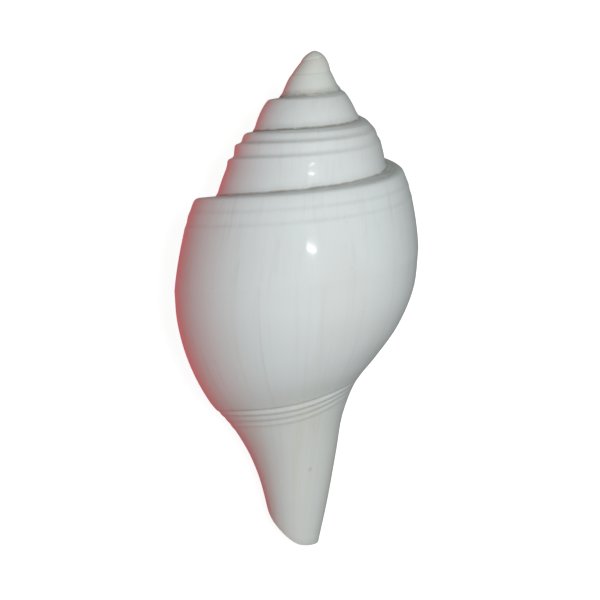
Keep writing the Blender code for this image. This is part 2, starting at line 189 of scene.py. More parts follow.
# Columns down a side, as shares of the way down and steps from each place to the next. They are closest
# from a reach above the first crease to a reach below the second
SIDE_TOP = 0.03
SIDE_LOW = 0.9
SIDE_STEPS = (2, 12, 12, 6, 7)
CREASE_REACH = 1.6
CREASE_LONGEST_SHARE = 0.15
CREASES_FROM = 0.035
CREASES_TO = 0.75
CREASES_GAP = 0.02

# Columns down the base and down the inner wall, as (mark, steps up to the next one)
BASE_STOPS = ((0.0, RIM_COLUMNS), (CORNER_MARK, 16), (0.40, 6), (0.455, 38), (0.56, 16))
WALL_SIDE_STOPS = ((0.02, 5), (0.2, 9), (1.0, 0))
WALL_BASE_STOPS = ((0.0, 22), (0.58, 16))

# Dirt and painted shade on the ramps and in the sutures, and painted shade in the creases, from 0 to 1.
# A pair of values is for the last whorl and for those above it, with the change between the first two
# stations. All of it fades out over the next two. Heights and widths are in mm
ABOVE_LAST = (1.4, 2.2)
DIRT_AND_SHADE_FADE = (4.2, 8.5)
RAMP_DIRT_AND_SHADE = 0.75
RAMP_DIRT_AND_SHADE_FALL = (0.8, 2.5)
CREASE_SHADE = (0.12, 0.06)
CREASE_SHADE_HALF_WIDTH = 0.78
SUTURE_DIRT_AND_SHADE_HEIGHT = 0.5
SUTURE_DIRT_AND_SHADE_START = 0.05

# Soft shade above the sutures over this height in mm: the stations where it comes in and goes again, and its
# two strengths with the stations between which it changes
SHADE_HEIGHT = 2.2
SHADE_STATIONS = (2.0, 2.6)
SHADE_GONE = (7.0, 8.0)
SHADE = (0.22, 0.97)
SHADE_STRONGER = (5.0, 6.0)

# Painted shade in the grooves between the cords, and painted shade above their cut line with the marks
# between which it rises
GROOVE_SHADE = 0.09
CORD_SHADE = 0.07
CORD_SHADE_MARKS = (0.32, 0.46)

# The finish knows a place by its marks (station, way down, dirt and painted shade). The way down is 0
# in a suture, 1 at the shoulder, 2 on the widest line and up to 3 at the canal's end. On the inside it is
# this much more
INSIDE = np.array([0.0, 2.0, 0.0])

# Scales of the noises that are drawn out along the lip, round the whorl and down it, and of the even ones
STREAK_SCALES = (46.0, 1.3)
THREAD_SCALES = (150.0, 2.0)
YELLOW_SCALES = (6.0, 0.9)
BREAK_SCALES = (14.0, 3.0)
CLOUD_SCALE = 26.0
SPECK_SCALE = 420.0

# Where parts of the finish begin and end, by station or by way down
OLD_STATIONS = (4.5, 8.0)
POLISHED_STATIONS = (1.5, 2.3)
CANAL_WAYS = (2.25, 2.55)
CANAL_END_WAYS = (4.0, 3.9)
MOUTH_WAYS = (3.05, 3.9)

# How far each colour covers the ones below it, the dirt of the specks, and how much the pit is darkened
STREAK_SHARE = 0.38
THREAD_SHARE = 0.16
CANAL_SHARE = 0.4
YELLOW_SHARE = 0.4
TIP_SHARE = 0.45
TIP_CLOUD_SHARE = 0.5
MOUTH_SHARE = 0.85
SPECK_DIRT = 0.2
PIT_DARKENING = 0.25

# What changes the roughness, the polish, and the angle from which an edge is sharp
CLOUD_ROUGHNESS = 0.10
DIRT_AND_SHADE_ROUGHNESS = 0.25
POLISH_SMOOTHNESS = 0.08
POLISH_IOR = 1.4
COAT = 0.6
COAT_WORN_ON_CANAL = 0.25
SHARP_EDGE = math.radians(42)

# The photograph's camera, in the upright shell's own directions: the frame's side in pixels, how far the
# camera looks down on the shell, how far the picture is tilted, the distance to the shell's middle in mm,
# the focal length and the tip's place in pixels, how far the middle is below the tip, and the sensor in mm
PHOTO_SIDE = 600
PHOTO_PITCH = math.radians(8.5)
PHOTO_TILT = math.radians(2.1)
PHOTO_DISTANCE = 656.0
PHOTO_FOCAL = 2500.0
PHOTO_TIP = (314.5, 50.5)
SHELL_MIDDLE = 65.0
SENSOR = 36.0

# Lights: width and length in metres, and places in mm from the shell's middle: right, up and towards the
# camera
KEY_SIZE = (0.22, 0.22)
KEY_PLACE = (150, 10, 620)
SPARK_SIZE = (0.024, 0.10)
SPARK_PLACE = (85, 46, 600)

# Warm side of the surroundings: its direction, how squarely a ray has to face it, and how much of it is
# left in the light that the shell scatters
WARM_SIDE = (-0.92, -0.2, -0.34)
WARM_RISE = (0.4, 0.95)
WARM_SCATTERED = 0.3


def smooth_through(marks, values, at):
    """Smooth curve through values at the marks, read at the given places; the first axis is the marks'."""
    marks = np.asarray(marks, float)
    values = np.asarray(values, float)
    at = np.clip(np.asarray(at, float), marks[0], marks[-1])
    slopes = np.gradient(values, marks, axis=0)
    low = np.clip(np.searchsorted(marks, at, side="right") - 1, 0, len(marks) - 2)
    gap = marks[low + 1] - marks[low]
    share = (at - marks[low]) / gap
    tail = (1,) * (values.ndim - 1)
    share = share.reshape(share.shape + tail)
    gap = gap.reshape(gap.shape + tail)
    near = (1 + 2 * share) * (1 - share) ** 2 * values[low] + share**2 * (3 - 2 * share) * values[low + 1]
    return near + gap * share * (1 - share) * ((1 - share) * slopes[low] - share * slopes[low + 1])


def smooth_step(low, high, at):
    """0 below low, 1 above high and a smooth rise between; falls instead where low is above high."""
    share = np.clip((np.asarray(at, float) - low) / (high - low), 0.0, 1.0)
    return share * share * (3 - 2 * share)


def bump(distance):
    """1 in the middle, 0 from a distance of 1 on, smooth on both sides."""
    return (1 - np.minimum(np.abs(distance), 1.0) ** 2) ** 2


def between(pair, share):
    """The first of a pair at share 0 and the second at share 1."""
    return pair[0] + (pair[1] - pair[0]) * share


def widest(station):
    """(radius, depth) of the widest line at a station, and the tip itself before the first one."""
    rounding_error = 1e-6
    point = smooth_through(np.arange(len(WIDEST_LINE)), WIDEST_LINE, station)
    return np.where(np.asarray(station)[..., None] > FIRST_STATION + rounding_error, 0.0, point)


def shoulder(station):
    """(radius, depth) of the shoulder at a station, and the roundness of the side below it."""
    above = widest(station + TURN)
    below = widest(station)
    out = np.interp(station, SHOULDER_STATIONS, SHOULDER_OUT)
    drop = np.interp(station, SHOULDER_STATIONS, SHOULDER_DROP)
    roundness = np.interp(station, SHOULDER_STATIONS, SIDE_ROUNDNESS)
    return above + (below - above) * np.stack([out, drop], axis=-1), roundness


def side_outline(station, share):
    """Whorl side at a station for shares 0 to 1 of the way down from the shoulder to the widest line."""
    corner, power = shoulder(station)
    below = widest(station)
    out = (1 - (1 - share) ** power) ** (1 / power)
    return corner + (below - corner) * np.stack([out, share], axis=-1)


def side_height(station):
    """Height of the side from the shoulder down to the widest line, in mm."""
    return (widest(station) - shoulder(station)[0])[1]


def crease_shares(station):
    """Shares down the side at which the two creases run at a station."""
    change = float(smooth_step(*CREASES_CHANGE, station))
    drop = np.interp(station, SHOULDER_STATIONS, SHOULDER_DROP)
    ways = [between(pair, change) for pair in zip(CREASES_ON_LAST, CREASES_ABOVE)]
    return [max((way - drop) / (1 - drop), 0.0) for way in ways]


def crease_strength(station):
    """How strongly the creases show at a station; the small whorls have none."""
    return float(smooth_through(CREASE_STATIONS, CREASE_STRENGTHS, station))


def crease_relief(station, share):
    """Height of the side above its plain outline round the two creases."""
    settings = bpy.context.scene.conch_shape
    relief = 0.0
    for crease in crease_shares(station):
        below = (share - crease) * side_height(station)
        way = below / CREASE_STEP_WIDTH
        step = CREASE_STEP * way * np.exp((1 - way**2) / 2)
        relief = relief + step - settings.crease_depth / MM * bump(below / CREASE_HALF_WIDTH)
    return crease_strength(station) * relief


def flare_relief(station, share):
    """Height of the side above its plain outline where it runs out onto the next whorl."""
    reach = min(FLARE_HEIGHT / side_height(station), FLARE_LONGEST_SHARE)
    way = smooth_step(1.0 - reach, 1.0 + reach, share)
    strength = smooth_step(*FLARE_STATIONS, station) * (1 - smooth_step(*FLARE_GONE, station))
    return FLARE * 2 * strength * way


def base_outline(station, mark):
    """Base of the last whorl, its canal and the pillar inside at a station, for marks 0 to 1."""
    outlines = smooth_through(BASE_STATIONS, BASE_OUTLINES, station)
    points = smooth_through(BASE_MARKS, outlines, mark)
    gap = widest(station) - outlines[0]
    return points + gap * (1 - mark[..., None]) ** 3


def cords_keep(station):
    """1 where the base has its cords, fading to 0 towards the lip and as it goes into the mouth."""
    return float(smooth_step(*CORDS_RISE, station) * (1 - smooth_step(*CORDS_FADE, station)))


def base_relief(station, mark):
    """Height of the cords and the cut line on the outside, and of the folds on the pillar inside."""
    cords = CORD_HEIGHT * sum(bump((mark - place) / CORD_HALF_WIDTH) for place in CORD_MARKS)
    cut = CUT_DEPTH * bump((mark - CUT_MARK) / CORD_HALF_WIDTH)
    folds = FOLD_HEIGHT * sum(bump((mark - place) / FOLD_HALF_WIDTH) for place in FOLD_MARKS)
    folds_keep = float(smooth_step(FOLD_START_STATION, FOLD_FULL_STATION, station))
    return cords_keep(station) * (cords - cut) + folds_keep * folds


def end_mark(station):
    """Mark at which the canal ends at a station."""
    depths = base_outline(station, CANAL_MARKS)[:, 1]
    return float(np.interp(smooth_through(END_STATIONS, END_DEPTHS, station), depths, CANAL_MARKS))


def raised(outline, station, places, relief):
    """The outline function's points at the places, moved outwards by the relief at each."""
    step = 1e-3
    before = outline(station, np.clip(places - step, 0.0, 1.0))
    after = outline(station, np.clip(places + step, 0.0, 1.0))
    along = after - before
    across = np.stack([along[:, 1], -along[:, 0]], axis=-1)
    across /= np.linalg.norm(across, axis=-1, keepdims=True)
    return outline(station, places) + across * np.asarray(relief)[:, None]


def in_space(points, station):
    """Points of a row, from a suture or corner down, placed round the shell; the tip is at +Y."""
    bow = 1 - smooth_step(LIP_STATION, LIP_BOW_START, station)
    way = np.clip((points[:, 1] - LIP_TOP) / (LIP_BOTTOM - LIP_TOP), 0.0, 1.0)
    angle = -math.pi * station + LIP_BOW * bow * 4 * way * (1 - way)
    radius = points[:, 0]
    return np.stack([-radius * np.cos(angle), -points[:, 1], -radius * np.sin(angle)], axis=-1)


def spread(*stops):
    """Places from stop to stop. A stop is (place, steps up to the next one); the last one has 0 steps."""
    runs = [np.linspace(a, b, steps, endpoint=False) for (a, steps), (b, _) in zip(stops, stops[1:])]
    return np.concatenate(runs + [[stops[-1][0]]])


def side_shares(station):
    """Places down the side at which the fine surface has a column of points, closer round the creases."""
    near = min(CREASE_REACH / side_height(station), CREASE_LONGEST_SHARE)
    first, second = crease_shares(station)
    start = max(first - near, CREASES_FROM)
    middle = max((first + second) / 2, start + CREASES_GAP)
    end = min(second + near, CREASES_TO)
    return spread(*zip((SIDE_TOP, start, middle, end, SIDE_LOW), SIDE_STEPS), (1.0, 0))


def base_marks(station):
    """Places down the base at which the fine surface has a column of points, as far as the canal's end."""
    return spread(*BASE_STOPS, (end_mark(station), 0))


class Row:
    """One row of points in mm, with marks for the finish at each: (station, way down, dirt and painted
    shade).
    """

    def __init__(self, points, station, ways, dirt_and_shade):
        self.points = in_space(points, station)
        dirt_and_shade = np.broadcast_to(np.asarray(dirt_and_shade, float), len(points))
        self.marks = np.stack([np.full(len(points), station), ways, dirt_and_shade], axis=-1)


def ramp_dirt_and_shade(station, shares):
    """Dirt and painted shade on a ramp, most in its suture, at shares of the way out to the shoulder."""
    fall = between(RAMP_DIRT_AND_SHADE_FALL, smooth_step(*ABOVE_LAST, station))
    return RAMP_DIRT_AND_SHADE * (1.0 - shares) ** fall


def side_dirt_and_shade(station, shares):
    """Painted shade in the creases, dirt and painted shade in the suture below, and a soft painted shade
    above it.
    """
    height = side_height(station)
    creases = crease_shares(station)
    # The creases are darkened as painted shade
    in_creases = sum(bump((shares - crease) * height / CREASE_SHADE_HALF_WIDTH) for crease in creases)
    amount = between(CREASE_SHADE, smooth_step(*ABOVE_LAST, station)) * (station < CREASE_STATIONS[-1])
    # The suture line below gets dirt and painted shade
    from_suture = (1.0 - shares) * height
    mouth_top = TURN + LIP_STATION
    on_whorl = smooth_step(mouth_top - SUTURE_DIRT_AND_SHADE_START, mouth_top, station)
    in_suture = on_whorl * bump(from_suture / SUTURE_DIRT_AND_SHADE_HEIGHT)
    shade = smooth_step(*SHADE_STATIONS, station) * (1.0 - smooth_step(*SHADE_GONE, station))
    shade = shade * between(SHADE, smooth_step(*SHADE_STRONGER, station))
    return np.maximum(amount * in_creases, in_suture) + shade * bump(from_suture / SHADE_HEIGHT)


def side_row(station):
    """Outside of one whorl, from the suture above over the ramp and its shoulder to the widest line."""
    shares = side_shares(station)
    relief = crease_relief(station, shares) + flare_relief(station, shares)
    side = raised(side_outline, station, shares, relief)
    corner = shoulder(station)[0]
    above = widest(station + TURN)
    ramp_length = max(float(np.linalg.norm(corner - above)), SHORTEST_RAMP)
    reach = min(CORNER_REACH / ramp_length, CORNER_LONGEST_SHARE)
    ramp = above + (corner - above) * np.linspace(0.0, 1.0 - reach, RAMP_COLUMNS)[:, None]
    share = (np.arange(1, CORNER_COLUMNS) / CORNER_COLUMNS)[:, None]
    turn = (1 - share) ** 2 * ramp[-1] + 2 * share * (1 - share) * corner + share**2 * side[0]
    points = np.concatenate([ramp, turn, side])
    ways_out = np.linspace(0.0, 1.0, len(ramp) + len(turn))
    # Dirt and painted shade on the ramp and side, faded out over the oldest whorls
    dirt_and_shade = np.concatenate([ramp_dirt_and_shade(station, ways_out), side_dirt_and_shade(station, shares)])
    dirt_and_shade = dirt_and_shade * (1.0 - smooth_step(*DIRT_AND_SHADE_FADE, station))
    return Row(points, station, np.concatenate([ways_out, 1.0 + shares]), dirt_and_shade)


def base_row(station):
    """Outside of the base, from the widest line to the end of the canal, or of the pillar inside."""
    marks = base_marks(station)
    points = raised(base_outline, station, marks, base_relief(station, marks))
    # The cut line and the grooves between the cords are darkened as painted shade, with a painted shade band
    # above the cut line
    grooves = [CUT_MARK] + [(a + b) / 2 for a, b in zip(CORD_MARKS, CORD_MARKS[1:])]
    in_grooves = sum(bump((marks - place) / CORD_HALF_WIDTH) for place in grooves)
    above_cut = smooth_step(CUT_MARK + CORD_HALF_WIDTH / 2, CUT_MARK, marks)
    above_cut = above_cut * smooth_step(*CORD_SHADE_MARKS, marks)
    dirt_and_shade = cords_keep(station) * (GROOVE_SHADE * in_grooves + CORD_SHADE * above_cut)
    return Row(points, station, 2.0 + marks, dirt_and_shade)


def wall_row(station):
    """Inner face of the outer wall, from its corner on the whorl before to the end of the canal."""
    thick = between((WALL_AT_LIP, WALL), float(smooth_step(LIP_STATION, LIP_BOW_START, station)))
    shares = spread(*WALL_SIDE_STOPS)[:-1]
    side = raised(side_outline, station, shares, np.full(len(shares), -thick))
    marks = spread(*WALL_BASE_STOPS, (end_mark(station), 0))
    wall = between((thick, WALL_AT_CANAL_END), smooth_step(*WALL_THINS, marks))
    base = raised(base_outline, station, marks, -wall)
    base[-1, 1] = raised(base_outline, station, marks[-1:], np.zeros(1))[0, 1]
    return Row(np.concatenate([side, base]), station, np.concatenate([1.0 + shares, 2.0 + marks]), 0.0)


def walk(first, second):
    """Steps along two chains of points together, as pairs of places. The chain that is behind moves on, or
    both where their next points are level, which is within this share of a step."""
    level_share = 0.5
    ways = []
    for chain in (first, second):
        lengths = np.linalg.norm(np.diff(chain, axis=0), axis=1)
        total = np.concatenate([[0.0], np.cumsum(lengths)])
        ways.append(total / total[-1])
    i = j = 0
    pairs = [(0, 0)]
    while i < len(first) - 1 or j < len(second) - 1:
        next_i = ways[0][i + 1] if i < len(first) - 1 else math.inf
        next_j = ways[1][j + 1] if j < len(second) - 1 else math.inf
        if abs(next_i - next_j) < level_share * min(next_i - ways[0][i], next_j - ways[1][j]):
            i, j = i + 1, j + 1
        elif next_i < next_j:
            i += 1
        else:
            j += 1
        pairs.append((i, j))
    return pairs


class Chain:
    """A run of surface points: their numbers, and the marks that the faces beside this run carry."""

    def __init__(self, numbers, marks):
        self.numbers = list(numbers)
        self.marks = np.asarray(marks, float)

    def __getitem__(self, part):
        return Chain(self.numbers[part], self.marks[part])


class Surface:
    """Shared points, and faces whose corners carry marks."""

    def __init__(self):
        self.points = []
        self.faces = []
        self.marks = []

    def add(self, row, start=None):
        """A chain of a row's points; with start, the row's first point is that existing one."""
        skipped = 0 if start is None else 1
        first = len(self.points)
        self.points.extend(row.points[skipped:])
        numbers = ([] if start is None else [start]) + list(range(first, len(self.points)))
        return Chain(numbers, row.marks)

    def face(self, *corners):
        """A face between (number, marks) corners; neighbours that are the same point count once."""
        kept = [c for i, c in enumerate(corners) if c[0] != corners[i - 1][0]]
        if len({c[0] for c in kept}) > 2:
            self.faces.append([c[0] for c in kept])
            self.marks.extend(c[1] for c in kept)

    def bridge(self, first, second):
        """Faces between two chains, place by place where they are equally long."""
        pairs = [(i, i) for i in range(len(first.numbers))]
        if len(first.numbers) != len(second.numbers):
            at_first = np.array([self.points[n] for n in first.numbers])
            at_second = np.array([self.points[n] for n in second.numbers])
            pairs = walk(at_first, at_second)
        for (i, j), (k, m) in zip(pairs, pairs[1:]):
            self.face((first.numbers[i], first.marks[i]), (second.numbers[j], second.marks[j]),
                      (second.numbers[m], second.marks[m]), (first.numbers[k], first.marks[k]))


def inner_marks(chain):
    """The chain with its way down moved on, which is how the finish knows the inside of the mouth."""
    return Chain(chain.numbers, chain.marks + INSIDE)


def fine_surface(steps_per_turn):
    """The whole closed surface of the shell, in mm, with the tip at the origin."""
    surface = Surface()
    half = steps_per_turn // 2
    rows = round((FIRST_STATION - LIP_STATION) * half)
    stations = [FIRST_STATION - k / half for k in range(rows + 1)]
    stations[-1] = LIP_STATION

    # Outside of every whorl; a row starts on the point that ends the row a turn before it
    surface.points.append(np.zeros(3))
    sides = []
    for k, station in enumerate(stations):
        start = 0 if k < steps_per_turn else sides[k - steps_per_turn].numbers[-1]
        sides.append(surface.add(side_row(station), start))
    for first, second in zip(sides, sides[1:]):
        surface.bridge(first, second)
    surface.bridge(Chain([0] * len(sides[0].numbers), sides[0].marks), sides[0])

    # Base and canal of the last whorl, then the same surface carried on inside as the pillar
    mouth = rows - steps_per_turn
    deep = round(HOLLOW_DEPTH * half)
    bases = {}
    for k in range(mouth - deep, rows + 1):
        row = base_row(stations[k])
        if k < mouth:
            row.points = row.points[RIM_COLUMNS:]
            row.marks = row.marks[RIM_COLUMNS:]
            bases[k] = inner_marks(surface.add(row))
        else:
            bases[k] = surface.add(row, sides[k].numbers[-1])
    for k in range(mouth, rows):
        surface.bridge(bases[k], bases[k + 1])
    pillar = {k: bases[k] for k in range(mouth - deep, mouth)}
    pillar[mouth] = inner_marks(bases[mouth][RIM_COLUMNS:])
    for k in range(mouth - deep, mouth):
        surface.bridge(pillar[k], pillar[k + 1])

    # Inner face of the outer wall, and the wall that closes the hollow at its deep end
    walls = {}
    for k in range(rows - deep, rows + 1):
        corner = pillar[k - steps_per_turn]
        wall = inner_marks(surface.add(wall_row(stations[k])))
        walls[k] = Chain([corner.numbers[0]] + wall.numbers, np.concatenate([wall.marks[:1], wall.marks]))
    for k in range(rows - deep, rows):
        surface.bridge(walls[k], walls[k + 1])
    surface.bridge(walls[rows - deep], pillar[mouth - deep])
    add_rim(surface, sides, bases, walls, pillar, (rows, mouth, deep))
    return surface


def add_rim(surface, sides, bases, walls, pillar, counts):
    """Rounded edge from the outside to the inside, down the lip and then round the canal's end."""
    rows, mouth, deep = counts
    side, base = sides[rows], bases[rows][1:]
    outer = Chain(side.numbers + base.numbers, np.concatenate([side.marks, base.marks]))
    inner = walls[rows]
    at_outer = np.array([surface.points[n] for n in outer.numbers])
    at_inner = np.array([surface.points[n] for n in inner.numbers])
    rungs = [(outer.numbers[i], inner.numbers[j], outer.marks[i]) for i, j in walk(at_outer, at_inner)]
    lip_rungs = len(rungs)
    for k in range(rows - 1, rows - deep - 1, -1):
        rungs.append((bases[k].numbers[-1], walls[k].numbers[-1], bases[k].marks[-1]))
    for step in range(deep + 1):
        end = bases[rows - deep - step]
        rungs.append((end.numbers[-1], pillar[mouth - deep + step].numbers[-1], end.marks[-1]))
    sideways = in_space(np.array([[1.0, 0.0]]), LIP_STATION - TURN / 4)[0]
    down = np.array([0.0, -1.0, 0.0])
    across = []
    for place, (outer_point, inner_point, marks) in enumerate(rungs):
        turned = float(smooth_step(lip_rungs - RIM_TURN_RUNGS, lip_rungs, place))
        ahead = sideways * (1 - turned) + down * turned
        a = np.array(surface.points[outer_point])
        b = np.array(surface.points[inner_point])
        width = min(float(np.linalg.norm(a - b)) / 2, RIM_REACH) * RIM_ROUNDNESS
        width *= min(1.0, (place + 1) / RIM_START_RUNGS)
        width *= 1 - RIM_FLATTER_AT_END * float(smooth_step(lip_rungs, lip_rungs + deep, place))
        arch = []
        for column in range(1, RIM_COLUMNS):
            angle = math.pi * column / RIM_COLUMNS
            arch.append((a + b) / 2 + (a - b) / 2 * math.cos(angle) + ahead * width * math.sin(angle))
        if place == 0:
            middle = bases[mouth].numbers[1:RIM_COLUMNS]
        elif outer_point == inner_point:
            middle = [outer_point] * (RIM_COLUMNS - 1)
        else:
            first = len(surface.points)
            surface.points.extend(arch)
            middle = list(range(first, len(surface.points)))
        numbers = [outer_point] + middle + [inner_point]
        inward = np.linspace(0.0, 1.0, len(numbers))[:, None] * INSIDE
        across.append(Chain(numbers, marks * np.array([1.0, 1.0, 0.0]) + inward))
    for first, second in zip(across, across[1:]):
        for column in range(RIM_COLUMNS):
            corners = ((first, column), (first, column + 1), (second, column + 1), (second, column))
            surface.face(*((chain.numbers[place], chain.marks[place]) for chain, place in corners))


def laid_matrix(points):
    """Matrix from the upright shell in mm to its place on the floor in metres, by the box of its solid."""
    turn = Matrix.Rotation(TIP_RAISED, 4, "X") @ Matrix.Rotation(ROLL, 4, "Y") @ Matrix.Scale(MM, 4)
    turned = np.asarray(points) @ np.array(turn.to_3x3()).T
    low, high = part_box(NODE)
    shift = (low + high) / 2 - Vector((turned.min(0) + turned.max(0)) / 2)
    shift.z = high.z - turned[:, 2].max()
    return Matrix.Translation(shift) @ turn


class Value:
    """A number in a shader tree; Python's operators on it add Math nodes."""

    def __init__(self, tree, socket):
        self.tree = tree
        self.socket = socket

    def math(self, operation, *numbers):
        return self.tree.node("ShaderNodeMath", {"operation": operation}, dict(enumerate(numbers)))

    def __add__(self, other):
        return self.math("ADD", self, other)

    __radd__ = __add__

    def __sub__(self, other):
        return self.math("SUBTRACT", self, other)

    def __rsub__(self, other):
        return self.math("SUBTRACT", other, self)

    def __mul__(self, other):
        return self.math("MULTIPLY", self, other)

    __rmul__ = __mul__

    def __truediv__(self, other):
        return self.math("DIVIDE", self, other)

    def __rtruediv__(self, other):
        return self.math("DIVIDE", other, self)

    def __pow__(self, other):
        return self.math("POWER", self, other)

    def least(self, other):
        return self.math("MINIMUM", self, other)

    def rise(self, low, high):
        """0 below low, 1 above high and a smooth rise between; falls instead where low is above high."""
        limits = {"Value": self, "From Min": low, "From Max": high}
        return self.tree.node("ShaderNodeMapRange", {"interpolation_type": "SMOOTHSTEP"}, limits)


class ShaderTree:
    """Nodes of one material or of the surroundings."""

    def __init__(self, owner):
        owner.use_nodes = True
        self.nodes = owner.node_tree.nodes
        self.links = owner.node_tree.links
        self.nodes.clear()

    def node(self, kind, settings, inputs, output=0):
        """Adds a node, with its settings first and then its sockets, and returns the output asked for."""
        made = self.nodes.new(kind)
        for name, setting in settings.items():
            setattr(made, name, setting)
        for key, value in inputs.items():
            if isinstance(value, Value):
                self.links.new(value.socket, made.inputs[key])
            else:
                made.inputs[key].default_value = value
        return Value(self, made.outputs[output]) if made.outputs else None

    def attribute(self, name):
        """The x, y and z of a vector attribute of the mesh."""
        vector = self.node("ShaderNodeAttribute", {"attribute_name": name}, {}, "Vector")
        return [self.node("ShaderNodeSeparateXYZ", {}, {"Vector": vector}, axis) for axis in "XYZ"]

    def vector(self, x, y):
        return self.node("ShaderNodeCombineXYZ", {}, {"X": x, "Y": y})

    def position(self):
        return self.node("ShaderNodeTexCoord", {}, {}, "Object")

    def noise(self, vector, scale, detail, roughness, distortion=0.0):
        sockets = {"Vector": vector, "Scale": scale, "Detail": detail, "Roughness": roughness}
        return self.node("ShaderNodeTexNoise", {}, {**sockets, "Distortion": distortion}, "Fac")

    def mix(self, factor, low, high):
        """Colour low at factor 0 and high at factor 1."""
        return self.node("ShaderNodeMix", {"data_type": "RGBA"}, {0: factor, 6: low, 7: high}, 2)


def colour(values):
    return (*values, 1.0)


def shell_material():
    """Polished shell: growth streaks, dirt and painted shade in grooves, a beige tip, yellow streaks and a
    warm mouth.
    """
    settings = bpy.context.scene.conch_finish
    material = bpy.data.materials.new("polished_shell_finish")
    tree = ShaderTree(material)
    station, way, dirt_and_shade = tree.attribute("growth")
    place = tree.position()

    def drawn_out(scales, **details):
        """Noise that follows the lip, long down the whorl and narrow round it."""
        return tree.noise(tree.vector(station * scales[0], way * scales[1]), 1.0, **details)

    # The white has growth streaks and slightly warmer clouds
    streaks = drawn_out(STREAK_SCALES, detail=4.0, roughness=0.62, distortion=0.25)
    threads = drawn_out(THREAD_SCALES, detail=3.0, roughness=0.6, distortion=0.2)
    clouds = tree.noise(place, CLOUD_SCALE, detail=3.0, roughness=0.55)
    body = tree.mix(clouds.rise(0.35, 0.72), colour(settings.body), colour(settings.cloud))
    body = tree.mix(streaks.rise(0.48, 0.78) * STREAK_SHARE, body, colour(settings.streak))
    body = tree.mix(threads.rise(0.5, 0.8) * THREAD_SHARE, body, colour(settings.streak))

    # Yellowish streaks on the base and canal
    canal = way.rise(*CANAL_WAYS) * way.rise(*CANAL_END_WAYS)
    yellow = drawn_out(YELLOW_SCALES, detail=3.0, roughness=0.55, distortion=0.4).rise(0.47, 0.75)
    body = tree.mix(canal * CANAL_SHARE, body, colour(settings.streak))
    body = tree.mix(yellow * canal * YELLOW_SHARE, body, colour(settings.yellow))

    # The oldest whorls are worn to beige
    old = station.rise(*OLD_STATIONS)
    body = tree.mix(old * (TIP_SHARE + TIP_CLOUD_SHARE * clouds), body, colour(settings.tip))

    # The inside of the mouth is warm, and deeper in it is warmer
    inside = way.rise(*MOUTH_WAYS)
    body = tree.mix(inside * MOUTH_SHARE, body, colour(settings.mouth))

    # Dirt and painted shade sit in the sutures, on the ramps, in the creases and cuts, broken up along them;
    # dirt sits in specks, and the pit is darkened
    broken = drawn_out(BREAK_SCALES, detail=4.0, roughness=0.65).rise(0.28, 0.66)
    specks = tree.noise(place, SPECK_SCALE, detail=2.0, roughness=0.6).rise(0.74, 0.80)
    pit = ((station - PIT[0]) / PIT_HALF_WIDTHS[0]) ** 2 + ((way - PIT[1]) / PIT_HALF_WIDTHS[1]) ** 2
    grime_and_shade = dirt_and_shade * (0.35 + 0.65 * broken) + specks * SPECK_DIRT + pit.rise(1.0, 0.0) * PIT_DARKENING
    grime_and_shade = grime_and_shade.least(1.0)
    # The olive brown covers the dirt and the painted shade alike
    body = tree.mix(grime_and_shade * settings.dirt_and_shade_amount, body, colour(settings.dirt_and_shade))

    # The whorls above the last one have kept more of their polish
    roughness = settings.roughness + CLOUD_ROUGHNESS * clouds + DIRT_AND_SHADE_ROUGHNESS * grime_and_shade
    roughness = roughness - POLISH_SMOOTHNESS * station.rise(*POLISHED_STATIONS)
    height = 0.5 * streaks + 0.25 * threads + 0.5 * clouds
    relief = {"Strength": 0.06, "Distance": 0.0012, "Height": height}
    shader = tree.node("ShaderNodeBsdfPrincipled", {}, {
        "Base Color": body,
        "Roughness": roughness,
        "Normal": tree.node("ShaderNodeBump", {}, relief, "Normal"),
        "IOR": POLISH_IOR,
        "Coat Weight": COAT - COAT_WORN_ON_CANAL * canal,
        "Coat Roughness": 0.10,
        "Coat IOR": POLISH_IOR,
        "Subsurface Weight": 0.12,
        "Subsurface Radius": (1.0, 0.85, 0.7),
        "Subsurface Scale": 0.0016,
    })
    tree.node("ShaderNodeOutputMaterial", {}, {"Surface": shader})
    return material


def floor_material():
    """Plain matt white."""
    settings = bpy.context.scene.conch_studio
    material = bpy.data.materials.new("floor_paint")
    tree = ShaderTree(material)
    shader = tree.node("ShaderNodeBsdfPrincipled", {}, {
        "Base Color": colour(settings.floor_colour),
        "Roughness": 0.9,
        "Specular IOR Level": 0.1,
        "Emission Color": colour((1.0, 1.0, 1.0)),
        "Emission Strength": settings.floor_glow,
    })
    tree.node("ShaderNodeOutputMaterial", {}, {"Surface": shader})
    return material


class ConchShape(bpy.types.PropertyGroup):
    """Sizes of the fine surface."""

    steps_per_turn: bpy.props.IntProperty(
        name="Steps per turn", description="Rows of the surface in one turn of the whorl",
        default=220, min=24)
    crease_depth: bpy.props.FloatProperty(
        name="Crease depth", description="Depth of the two cut creases below each shoulder",
        default=0.00006, subtype="DISTANCE", unit="LENGTH")


